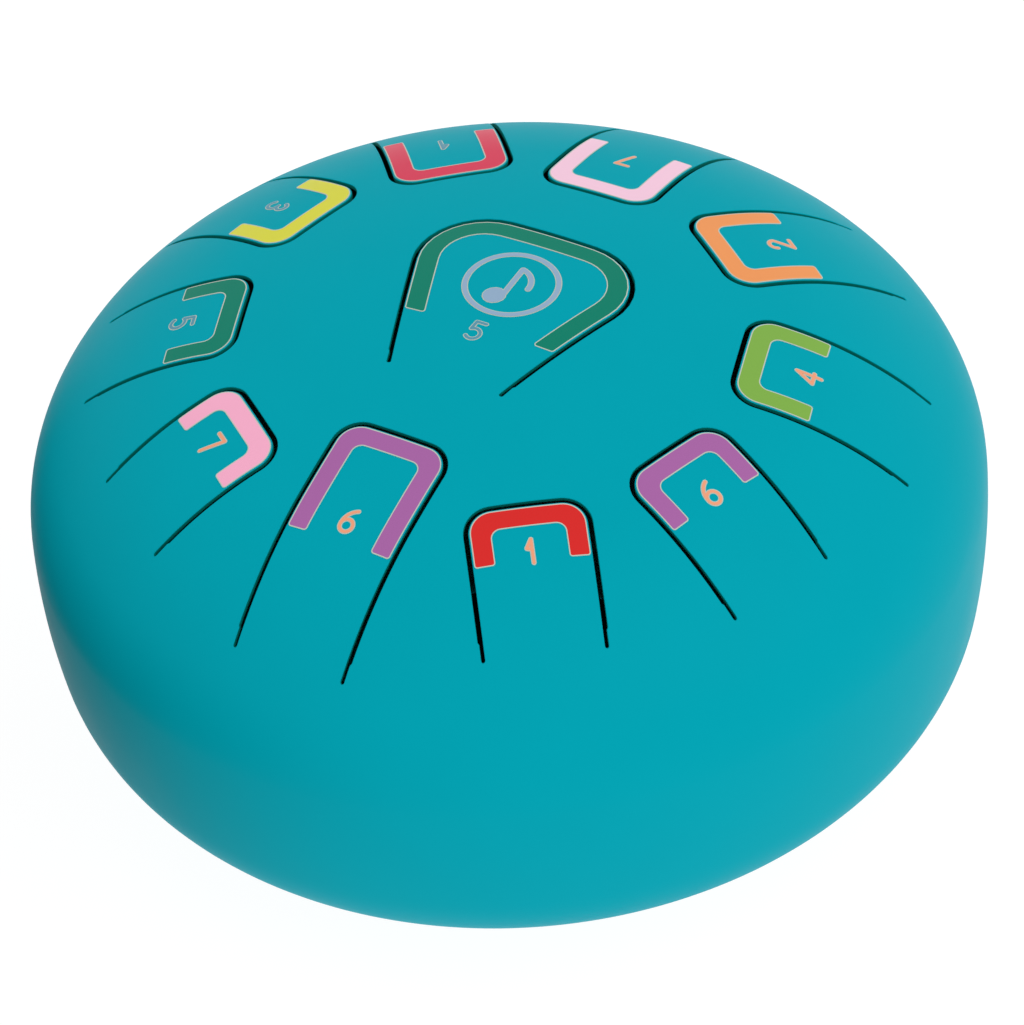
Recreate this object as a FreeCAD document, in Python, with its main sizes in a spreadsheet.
"""Steel tongue drum: two pressed steel shells welded at the rim, with eleven tuned tongues cut in the top.

Frame: millimetres, +Z up, origin on the floor under the centre of the drum, tongue 1 towards -Y.
"""
import FreeCAD, Part
import math
import os
import Sketcher

# name, value in millimetres or degrees, what it is
SIZES = [
    ("drum_radius", 152.5, "outer radius at the rim seam"),
    ("wall", 1.5, "steel of both shells"),
    ("top_height", 76.5, "seam to the top of the crown"),
    ("top_rim", 45.3, "radius of the arc that turns down to the seam"),
    ("top_turn", 40.2, "angle that the rim's arc turns through"),
    ("top_shoulder", 108.6, "radius of the arc under the tongues' roots"),
    ("base_depth", 82.2, "seam to the lowest point of the bottom shell"),
    ("base_side", 228.8, "radius of the bottom shell's side"),
    ("base_turn", 10.3, "angle that the side's arc turns through"),
    ("base_corner", 38.5, "radius of the arc between side and base"),
    ("sound_hole_radius", 40.0, "opening in the middle of the base"),
    ("weld_bead", 1.4, "radius of the weld bead inside the seam"),
    ("foot_circle", 88.0, "radius of the circle that the feet stand on"),
    ("foot_lift", 7.0, "floor to the lowest point of the bottom shell"),
    ("foot_radius", 12.0, "rubber foot at the shell"),
    ("foot_tread", 10.5, "rubber foot at the floor"),
    ("foot_taper", 5.0, "height of the foot's tapered tread"),
    ("foot_stem", 4.0, "radius of the stem and of its hole"),
    ("foot_head", 5.6, "radius of the stem's head inside the shell"),
    ("foot_head_height", 4.0, "height of the stem's head"),
    ("slot_width", 1.6, "laser slot round a tongue"),
    ("root_gap", 0.3, "split at a tongue's root, where it bends"),
    ("tongue_half_width", 18.65, "half the width of a ring tongue"),
    ("tongue_corner", 7.7, "corner radius of a ring tongue's tip"),
    ("tongue_taper", 0.0, "side angle of a ring tongue"),
    ("centre_half_width", 19.2, "half the width of the centre tongue at its root"),
    ("centre_corner", 20.5, "corner radius of the centre tongue's tip"),
    ("centre_taper", 18.3, "side angle of the centre tongue"),
    ("sticker_thickness", 0.15, "vinyl stickers"),
    ("band_margin", 0.5, "tongue edge to the coloured band"),
    ("band_width", 6.6, "width of a ring tongue's band"),
    ("centre_band_width", 6.8, "width of the centre tongue's band"),
    ("band_corner", 3.0, "smallest radius of a band's inner corners"),
    ("digit_height", 7.6, "height of a number"),
    ("digit_stroke", 0.95, "stroke of a number"),
    ("emblem_radius", 15.6, "outer radius of the round emblem"),
    ("emblem_line", 1.5, "line of the round emblem"),
    ("emblem_shift", 12.2, "emblem centre, from the drum's axis towards the centre tongue's tip"),
]

# name, azimuth in degrees, rim to root, length, tip to the ends of its band, tip to the middle of its number
RING = [
    ("1", -90, 26.9, 43.8, 18.6, 15.5),
    ("6", -54.3, 22.9, 49.3, 21.7, 18.6),
    ("4", -18.5, 18.4, 54.7, 24.3, 20.6),
    ("2", 18.9, 19.6, 57.2, 30.1, 24.0),
    ("7", 57.3, 21.4, 61.6, 35.0, 24.6),
    ("high_1", 93.7, 21.9, 54.4, 34.8, 24.5),
    ("3", 127.6, 16.7, 54.5, 24.3, 20.5),
    ("5", 162.8, 21.9, 48.4, 22.2, 19.5),
    ("low_7", 198.1, 25.3, 44.8, 19.8, 15.8),
    ("low_6", 234.1, 18.7, 73.7, 39.9, 32.8),
]
# the same, with the distance from the axis to the root in the place of the one from the rim
CENTRE = ("low_5", 236, 33.2, 73.2, 50.4, 52.0)
FEET = {"front_left": 225, "front_right": 315, "back_right": 45, "back_left": 135}

# shell, and the names of its height, its arc at the seam, that arc's turn and its arc in the middle
TOP_ARCS = ("top", "top_height", "top_rim", "top_turn", "top_shoulder")
BASE_ARCS = ("base", "base_depth", "base_side", "base_turn", "base_corner")

doc = FreeCAD.newDocument("tongue_drum")
sizes = doc.addObject("Spreadsheet::Sheet", "sizes")
nodes = {}


def fill_sheet():
    """One row for each size: what it is, and its value in a cell that has the size's name."""
    entries = list(SIZES)
    for shell, height, rim, turn, corner in (TOP_ARCS, BASE_ARCS):
        entries += [
            (f"{shell}_middle_out", f"=drum_radius - {rim} + ({rim} - {corner}) * cos({turn})",
             f"{shell} shell: axis to the centre of the {corner} arc"),
            (f"{shell}_middle_up", f"=({rim} - {corner}) * sin({turn})",
             f"{shell} shell: seam to the centre of the {corner} arc"),
            (f"{shell}_high", f"=(({height} - {corner}) ^ 2 - {shell}_middle_out ^ 2 - {shell}_middle_up ^ 2)"
             f" / (2 * ({height} - {corner} - {shell}_middle_up))",
             f"{shell} shell: seam to the centre of the crown's arc"),
        ]
    for name, _, gap, length, leg, number in RING + [CENTRE]:
        on_ring = name != CENTRE[0]
        entries += [
            (f"gap_{name}", gap, f"tongue {name}: {'rim' if on_ring else 'axis'} to root"),
            (f"length_{name}", length, f"tongue {name}: root to tip"),
            (f"root_{name}", f"=drum_radius - gap_{name}" if on_ring else f"=gap_{name}",
             f"tongue {name}: axis to root"),
            (f"tip_{name}", f"=root_{name} - length_{name}", f"tongue {name}: axis to tip"),
            (f"leg_{name}", leg, f"tongue {name}: tip to the ends of its band"),
            (f"number_{name}", number, f"tongue {name}: tip to the middle of its number"),
        ]
    for row, (name, value, note) in enumerate(entries, 1):
        sizes.set(f"A{row}", note)
        sizes.set(f"B{row}", str(value))
        sizes.setAlias(f"B{row}", name)
    doc.recompute()


def size(name):
    return float(sizes.get(name))


def add(kind, label, **properties):
    """A Part object with its properties set; a string value is an expression."""
    item = doc.addObject(kind, label)
    for key, value in properties.items():
        if isinstance(value, str):
            item.setExpression(key.replace("__", "."), value)
        else:
            setattr(item, key, value)
    return item


def keep(item, label):
    """Marks an object as one of the drum's pieces, under the name of its file."""
    item.Label = label
    nodes[label] = item
    return item


def constrain(sketch, name, expression, *arguments):
    """A constraint whose value comes from the sheet."""
    index = sketch.addConstraint(Sketcher.Constraint(*arguments, value_of(expression)))
    sketch.renameConstraint(index, name)
    sketch.setExpression(f"Constraints.{name}", expression)


def value_of(expression):
    """The number that an expression over the sheet gives."""
    value = sizes.evalExpression(str(expression).replace("sizes.", ""))
    return float(getattr(value, "Value", value))


UP = FreeCAD.Vector(0, 0, 1)
SEAM_HEIGHT = "sizes.foot_lift + sizes.base_depth"
BASE_CROWN = "(sizes.base_depth - sizes.base_high)"


def arc(centre, radius, start, end):
    """Arc of a circle between two points, counter-clockwise."""
    angles = [math.atan2(point.y - centre.y, point.x - centre.x) for point in (start, end)]
    circle = Part.Circle(centre, FreeCAD.Vector(0, 0, 1), radius)
    return Part.ArcOfCircle(circle, *angles)


def bowl_profile(label, side, arcs, inset):
    """Half section inside one face of a shell: three tangent arcs, the drum's axis and the seam plane.

    side is 1 for the top shell and -1 for the bottom. inset is how far the arcs lie inside the outer face.
    """
    shell, height, rim, turn, corner = arcs
    inward = value_of(inset)
    edge = size("drum_radius") - inward
    top = size(height) - inward
    # the arcs' centres: one on the seam plane, one between, one on the axis
    low = FreeCAD.Vector(size("drum_radius") - size(rim), 0, 0)
    middle = FreeCAD.Vector(size(f"{shell}_middle_out"), size(f"{shell}_middle_up"), 0)
    high = FreeCAD.Vector(0, size(f"{shell}_high"), 0)
    radii = [size(rim) - inward, size(corner) - inward, top - high.y]
    angle = math.radians(size(turn))
    join_low = low + FreeCAD.Vector(math.cos(angle), math.sin(angle), 0) * radii[0]
    join_high = high + (middle - high).normalize() * radii[2]
    rim_end = FreeCAD.Vector(edge, 0, 0)
    apex = FreeCAD.Vector(0, top, 0)
    sketch = doc.addObject("Sketcher::SketchObject", label + "_profile")
    sketch.Placement.Rotation = FreeCAD.Rotation(FreeCAD.Vector(1, 0, 0), 90 * side)
    sketch.setExpression("Placement.Base.z", SEAM_HEIGHT)
    sketch.addGeometry([
        arc(low, radii[0], rim_end, join_low),
        arc(middle, radii[1], join_low, join_high),
        arc(high, radii[2], join_high, apex),
        Part.LineSegment(apex, FreeCAD.Vector(0, 0, 0)),
        Part.LineSegment(FreeCAD.Vector(0, 0, 0), rim_end),
    ])
    relations = [
        ("Tangent", 0, 2, 1, 1), ("Tangent", 1, 2, 2, 1),
        ("Coincident", 2, 2, 3, 1), ("Coincident", 3, 2, 4, 1), ("Coincident", 4, 2, 0, 1),
        ("Coincident", 4, 1, -1, 1), ("Horizontal", 4), ("Vertical", 3),
        ("PointOnObject", 0, 3, -1), ("PointOnObject", 2, 3, -2),
    ]
    for relation in relations:
        sketch.addConstraint(Sketcher.Constraint(*relation))
    constrain(sketch, "edge", f"sizes.drum_radius - ({inset})", "DistanceX", 4, 2)
    constrain(sketch, "top", f"sizes.{height} - ({inset})", "DistanceY", 3, 1)
    constrain(sketch, "rim", f"sizes.{rim} - ({inset})", "Radius", 0)
    constrain(sketch, "turn", f"(sizes.{rim} - ({inset})) * sin(sizes.{turn})", "DistanceY", 0, 2)
    constrain(sketch, "corner", f"sizes.{corner} - ({inset})", "Radius", 1)
    return sketch


def bowl(label, side, inset):
    """Solid form inside one face of the top shell or of the bottom shell."""
    profile = bowl_profile(label, side, TOP_ARCS if side > 0 else BASE_ARCS, inset)
    return add("Part::Revolution", label, Source=profile, Axis=UP, Angle=360.0, Solid=True,
               Base__z=SEAM_HEIGHT)


def half_width_at(tongue, height, inset):
    """Half width of a tongue's outline, as an expression, at one distance from the drum's axis."""
    half, taper, _ = tongue["shape"]
    return (f"sizes.{half} + (sizes.root_{tongue['name']} - ({height})) * tan(sizes.{taper})"
            f" - ({inset}) / cos(sizes.{taper})")


def tongue_outline(tongue, use, inset, end, corner=None):
    """Closed outline: a straight end across the tongue, two sides, a tip line and two round corners.

    The sketch's Y runs outwards from the drum's axis. inset is how far it lies inside the tongue's
    edge, below 0 when outside it, and end is the straight end's distance from the axis. Without a
    corner of its own, the radius is the tongue's less the inset.
    """
    name = tongue["name"]
    tip = f"sizes.tip_{name} + ({inset})"
    corner = corner or f"sizes.{tongue['shape'][2]} - ({inset})"
    half_end = half_width_at(tongue, end, inset)
    half_tip = half_width_at(tongue, tip, inset)
    end_y, tip_y, radius, wide_end, wide_tip = map(value_of, (end, tip, corner, half_end, half_tip))
    # a corner's arc turns a right angle plus the side's taper
    slope = math.atan2(wide_tip - wide_end, end_y - tip_y)
    trim = radius * math.tan((math.pi / 2 + slope) / 2)
    side_x = wide_tip - trim * math.sin(slope)
    side_y = tip_y + trim * math.cos(slope)
    centre_x = wide_tip - trim
    point = FreeCAD.Vector
    right_end, right_side, right_tip = point(wide_end, end_y), point(side_x, side_y), point(centre_x, tip_y)
    left_end, left_side, left_tip = point(-wide_end, end_y), point(-side_x, side_y), point(-centre_x, tip_y)
    sketch = doc.addObject("Sketcher::SketchObject", f"{use}_{name}_outline")
    sketch.Placement.Rotation = FreeCAD.Rotation(UP, tongue["azimuth"] - 90)
    sketch.addGeometry([
        Part.LineSegment(right_end, left_end),
        Part.LineSegment(left_end, left_side),
        arc(point(-centre_x, tip_y + radius), radius, left_side, left_tip),
        Part.LineSegment(left_tip, right_tip),
        arc(point(centre_x, tip_y + radius), radius, right_tip, right_side),
        Part.LineSegment(right_side, right_end),
        Part.Point(point(wide_tip, tip_y)),
        Part.Point(point(-wide_tip, tip_y)),
    ])
    sketch.toggleConstruction(6)
    sketch.toggleConstruction(7)
    relations = [
        ("Coincident", 0, 2, 1, 1), ("Coincident", 5, 2, 0, 1), ("Horizontal", 0), ("Horizontal", 3),
        ("Tangent", 1, 2, 2, 1), ("Tangent", 2, 2, 3, 1), ("Tangent", 3, 2, 4, 1), ("Tangent", 4, 2, 5, 1),
        ("PointOnObject", 6, 1, 5), ("PointOnObject", 7, 1, 1),
        ("PointOnObject", 6, 1, 3), ("PointOnObject", 7, 1, 3),
    ]
    for relation in relations:
        sketch.addConstraint(Sketcher.Constraint(*relation))
    constrain(sketch, "end", end, "DistanceY", 0, 1)
    constrain(sketch, "tip", tip, "DistanceY", 3, 1)
    constrain(sketch, "right_end", half_end, "DistanceX", 0, 1)
    constrain(sketch, "left_end", f"-({half_end})", "DistanceX", 0, 2)
    constrain(sketch, "right_tip", half_tip, "DistanceX", 6, 1)
    constrain(sketch, "left_tip", f"-({half_tip})", "DistanceX", 7, 1)
    constrain(sketch, "right_corner", corner, "Radius", 4)
    constrain(sketch, "left_corner", corner, "Radius", 2)
    return sketch


def upright(sketch, label):
    """Prism over an outline, from the floor to above the crown."""
    return add("Part::Extrusion", label, Base=sketch, Dir=UP, Solid=True,
               LengthFwd=f"2 * ({SEAM_HEIGHT} + sizes.top_height)")


def make_tongue(tongue, dome, layer):
    """A tongue and its band, and the prism that opens the shell round it."""
    name = tongue["name"]
    root = f"sizes.root_{name}"
    tip = f"sizes.tip_{name}"
    opening = upright(tongue_outline(tongue, "opening", "-sizes.slot_width", f"{root} + sizes.root_gap"),
                      f"opening_{name}")
    blank = upright(tongue_outline(tongue, "tongue", "0", root), f"tongue_{name}_prism")
    keep(add("Part::MultiCommon", f"tongue_{name}_form", Shapes=[dome, blank]), f"tongue_{name}")
    margin = "sizes.band_margin"
    inner = f"{margin} + sizes.{tongue['band']}"
    legs = f"{tip} + sizes.leg_{name}"
    outside = upright(tongue_outline(tongue, "band", margin, legs), f"band_{name}_outside")
    round_inside = f"max(sizes.{tongue['shape'][2]} - ({inner}); sizes.band_corner)"
    window = tongue_outline(tongue, "window", inner, f"{legs} + sizes.band_width", round_inside)
    inside = upright(window, f"band_{name}_inside")
    frame = add("Part::Cut", f"band_{name}_prism", Base=outside, Tool=inside)
    keep(add("Part::MultiCommon", f"band_{name}_form", Shapes=[layer, frame]), f"band_{name}")
    return opening


def stroke_prism(points, half, tall):
    """Upright prism of a straight stroke or, with three points, of a round one, with round ends."""
    ends = [Part.makeCylinder(half, tall, point) for point in (points[0], points[-1])]
    if len(points) == 2:
        run = points[1] - points[0]
        box = Part.makeBox(run.Length, 2 * half, tall, FreeCAD.Vector(0, -half, 0))
        turn = FreeCAD.Rotation(UP, math.degrees(math.atan2(run.y, run.x)))
        box.Placement = FreeCAD.Placement(points[0], turn)
        return [box] + ends
    edge = Part.Arc(*points).toShape()
    circle = edge.Curve
    start = edge.valueAt(edge.FirstParameter) - circle.Center
    begin = math.degrees(math.atan2(start.y, start.x))
    sweep = math.degrees(edge.LastParameter - edge.FirstParameter)
    ring = Part.makeCylinder(circle.Radius + half, tall, FreeCAD.Vector(0, 0, 0), UP, sweep).cut(
        Part.makeCylinder(circle.Radius - half, tall))
    turn = FreeCAD.Rotation(UP, begin - sweep if circle.Axis.z < 0 else begin)
    ring.Placement = FreeCAD.Placement(circle.Center, turn)
    return [ring] + ends


def printed_mark(label, prisms, azimuth, distance, layer):
    """A thin mark cut from the sticker layer by upright prisms, its top towards the drum's axis."""
    prism = prisms[0].multiFuse(prisms[1:])
    outwards = FreeCAD.Rotation(UP, azimuth) * FreeCAD.Vector(distance, 0, 0)
    prism.Placement = FreeCAD.Placement(outwards, FreeCAD.Rotation(UP, azimuth + 90))
    mark = doc.addObject("Part::Feature", label + "_form")
    mark.Shape = layer.Shape.common(prism).removeSplitter()
    keep(mark, label)


def strokes_in_box(strokes, scale, half, tall):
    """Prisms of strokes drawn in a box 0.6 wide and 1 high, with the box's middle at the origin."""
    prisms = []
    for stroke in strokes:
        points = [FreeCAD.Vector(x - 0.3, y - 0.5, 0) * scale for x, y in stroke]
        prisms += stroke_prism(points, half, tall)
    return prisms


# each stroke is two points of a line or three of an arc
DIGITS = {
    "1": [((0.13, 0.62), (0.34, 1.0)), ((0.34, 1.0), (0.34, 0.0)), ((0.13, 0.62), (0.34, 0.56))],
    "2": [((0.04, 0.74), (0.30, 1.0), (0.56, 0.72)), ((0.56, 0.72), (0.02, 0.0)),
          ((0.02, 0.0), (0.58, 0.0))],
    "3": [((0.05, 0.84), (0.50, 0.86), (0.24, 0.55)), ((0.24, 0.55), (0.50, 0.13), (0.02, 0.14))],
    "4": [((0.44, 0.0), (0.44, 1.0)), ((0.44, 1.0), (0.0, 0.30)), ((0.0, 0.30), (0.60, 0.30))],
    "5": [((0.54, 1.0), (0.10, 1.0)), ((0.10, 1.0), (0.06, 0.55)),
          ((0.06, 0.55), (0.56, 0.33), (0.02, 0.10))],
    "6": [((0.50, 1.0), (0.13, 0.70), (0.02, 0.28)), ((0.02, 0.28), (0.30, 0.0), (0.58, 0.28)),
          ((0.58, 0.28), (0.30, 0.56), (0.02, 0.28))],
    "7": [((0.02, 1.0), (0.58, 1.0)), ((0.58, 1.0), (0.20, 0.0))],
}


NOTE = [((0.3, 0.0), (0.3, 1.0)), ((0.3, 1.0), (0.60, 0.78), (0.68, 0.48))]
NOTE_HEAD = (-0.16, -0.46, 0.22)


def make_number(tongue, layer):
    """The tongue's number, upright as read from the rim."""
    name = tongue["name"]
    distance = value_of(f"sizes.tip_{name} + sizes.number_{name}")
    prisms = strokes_in_box(DIGITS[name[-1]], size("digit_height"), size("digit_stroke") / 2, CLEAR)
    printed_mark(f"number_{name}", prisms, tongue["azimuth"], distance, layer)


def make_emblem(tongue, layer):
    """Plain ring round an eighth note, on the centre tongue."""
    radius, line = size("emblem_radius"), size("emblem_line")
    ring = Part.makeCylinder(radius, CLEAR).cut(Part.makeCylinder(radius - line, CLEAR))
    x, y, head_radius = (share * radius for share in NOTE_HEAD)
    head = Part.makeCylinder(head_radius, CLEAR, FreeCAD.Vector(x, y, 0))
    note = strokes_in_box(NOTE, radius, line / 2, CLEAR)
    printed_mark("emblem", [ring, head] + note, tongue["azimuth"], -size("emblem_shift"), layer)


def weld_profile():
    """Section of the weld bead: round towards the drum's axis, flush on the inner faces of both shells."""
    bead = size("weld_bead")
    seam = FreeCAD.Vector(size("drum_radius") - size("wall"), 0, 0)
    radii = {1: size("top_rim") - size("wall"), -1: size("base_side") - size("wall")}
    centres = {side: seam - FreeCAD.Vector(radius, 0, 0) for side, radius in radii.items()}
    ends = {}
    for side, radius in radii.items():
        turn = side * 2 * math.asin(bead / (2 * radius))
        ends[side] = centres[side] + FreeCAD.Vector(math.cos(turn), math.sin(turn), 0) * radius
    sketch = doc.addObject("Sketcher::SketchObject", "weld_profile")
    sketch.Placement.Rotation = FreeCAD.Rotation(FreeCAD.Vector(1, 0, 0), 90)
    sketch.setExpression("Placement.Base.z", SEAM_HEIGHT)
    sketch.addGeometry([
        arc(centres[1], radii[1], seam, ends[1]),
        arc(seam, bead, ends[1], ends[-1]),
        arc(centres[-1], radii[-1], ends[-1], seam),
    ])
    relations = [
        ("Coincident", 0, 2, 1, 1), ("Coincident", 1, 2, 2, 1), ("Coincident", 2, 2, 0, 1),
        ("Coincident", 1, 3, 0, 1), ("PointOnObject", 0, 1, -1), ("PointOnObject", 0, 3, -1),
        ("PointOnObject", 2, 3, -1),
    ]
    for relation in relations:
        sketch.addConstraint(Sketcher.Constraint(*relation))
    constrain(sketch, "seam", "sizes.drum_radius - sizes.wall", "DistanceX", 0, 1)
    constrain(sketch, "top", "sizes.top_rim - sizes.wall", "Radius", 0)
    constrain(sketch, "bead", "sizes.weld_bead", "Radius", 1)
    constrain(sketch, "base", "sizes.base_side - sizes.wall", "Radius", 2)
    return sketch


def make_shells(openings):
    """Top shell, bottom shell and the weld between them."""
    top = add("Part::Cut", "top_wall", Base=form["top_outer"], Tool=form["top_inner"])
    slots = add("Part::MultiFuse", "openings", Shapes=openings)
    keep(add("Part::Cut", "top_cut", Base=top, Tool=slots), "top_shell")
    bottom = add("Part::Cut", "base_wall", Base=form["base_outer"], Tool=form["base_inner"])
    hole = add("Part::Cylinder", "sound_hole", Radius="sizes.sound_hole_radius", Height=SEAM_HEIGHT)
    stems = [
        add("Part::Cylinder", f"stem_hole_{place}", Radius="sizes.foot_stem", Height=SEAM_HEIGHT,
            Placement__Base__x=f"sizes.foot_circle * cos({azimuth})",
            Placement__Base__y=f"sizes.foot_circle * sin({azimuth})")
        for place, azimuth in FEET.items()
    ]
    holes = add("Part::MultiFuse", "base_holes", Shapes=[hole] + stems)
    keep(add("Part::Cut", "base_cut", Base=bottom, Tool=holes), "bottom_shell")
    keep(add("Part::Revolution", "weld", Source=weld_profile(), Axis=UP, Angle=360.0, Solid=True,
             Base__z=SEAM_HEIGHT), "rim_weld")


def make_foot(place, azimuth):
    """Rubber foot moulded to the shell, with a stem through its hole and a head that holds it."""
    at = {
        "Placement__Base__x": f"sizes.foot_circle * cos({azimuth})",
        "Placement__Base__y": f"sizes.foot_circle * sin({azimuth})",
    }
    # height of the shell's outer face at the foot circle, under the crown's arc
    shell = f"(sizes.foot_lift + {BASE_CROWN} - sqrt({BASE_CROWN} ^ 2 - sizes.foot_circle ^ 2))"
    tread = add("Part::Cone", f"foot_{place}_tread", Radius1="sizes.foot_tread", Radius2="sizes.foot_radius",
                Height="sizes.foot_taper", **at)
    block = add("Part::Cylinder", f"foot_{place}_block", Radius="sizes.foot_radius",
                Height=f"{shell} + 2 * sizes.wall - sizes.foot_taper", Placement__Base__z="sizes.foot_taper",
                **at)
    pad = add("Part::Cut", f"foot_{place}_pad", Base=block, Tool=form["crown_outer"])
    stem = add("Part::Cylinder", f"foot_{place}_stem", Radius="sizes.foot_stem",
               Height=f"{shell} + sizes.wall + sizes.foot_head_height", **at)
    cap = add("Part::Cylinder", f"foot_{place}_cap", Radius="sizes.foot_head",
              Height="sizes.wall + sizes.foot_head_height", Placement__Base__z=shell, **at)
    head = add("Part::MultiCommon", f"foot_{place}_head", Shapes=[cap, form["crown_inner"]])
    keep(add("Part::MultiFuse", f"foot_{place}_form", Shapes=[tread, pad, stem, head]), f"foot_{place}")


def check(item):
    """Stops when an object of the document has failed or a shape isn't sound."""
    if "Invalid" in item.State or "Error" in item.State:
        raise RuntimeError(f"{item.Label}: {item.State}")
    if hasattr(item, "Shape") and (item.Shape.isNull() or not item.Shape.isValid()):
        raise RuntimeError(f"{item.Label}: shape isn't valid")


fill_sheet()
# upright prisms reach this high, past the top of the crown
CLEAR = 2 * value_of(f"{SEAM_HEIGHT} + sizes.top_height")
form = {
    "top_outer": bowl("top_outer", 1, "0"),
    "top_inner": bowl("top_inner", 1, "sizes.wall"),
    "sticker_outer": bowl("sticker_outer", 1, "-sizes.sticker_thickness"),
    "base_outer": bowl("base_outer", -1, "0"),
    "base_inner": bowl("base_inner", -1, "sizes.wall"),
    # the balls that the crown of the base is part of
    "crown_outer": add("Part::Sphere", "crown_outer", Radius=BASE_CROWN,
                       Placement__Base__z=f"sizes.foot_lift + {BASE_CROWN}"),
    "crown_inner": add("Part::Sphere", "crown_inner", Radius=f"{BASE_CROWN} - sizes.wall",
                       Placement__Base__z=f"sizes.foot_lift + {BASE_CROWN}"),
}
dome = add("Part::Cut", "dome", Base=form["top_outer"], Tool=form["top_inner"])
layer = add("Part::Cut", "sticker_layer", Base=form["sticker_outer"], Tool=form["top_outer"])
ring_shape = ("tongue_half_width", "tongue_taper", "tongue_corner")
centre_shape = ("centre_half_width", "centre_taper", "centre_corner")
tongues = [
    {"name": entry[0], "azimuth": entry[1], "shape": ring_shape, "band": "band_width"} for entry in RING
]
tongues.append({"name": CENTRE[0], "azimuth": CENTRE[1], "shape": centre_shape, "band": "centre_band_width"})
make_shells([make_tongue(tongue, dome, layer) for tongue in tongues])
for place, azimuth in FEET.items():
    make_foot(place, azimuth)
doc.recompute()
for tongue in tongues:
    make_number(tongue, layer)
make_emblem(tongues[-1], layer)
doc.recompute()

for item in doc.Objects:
    check(item)
os.makedirs("parts", exist_ok=True)
for label, item in sorted(nodes.items()):
    solids = item.Shape.Solids
    if not solids:
        raise RuntimeError(f"{label}: no solid")
    item.Shape.exportStep(f"parts/{label}.step")
    print(f"{label}: {len(solids)} solid(s), {item.Shape.Volume:.2f} mm3")
print(f"{len(nodes)} nodes")
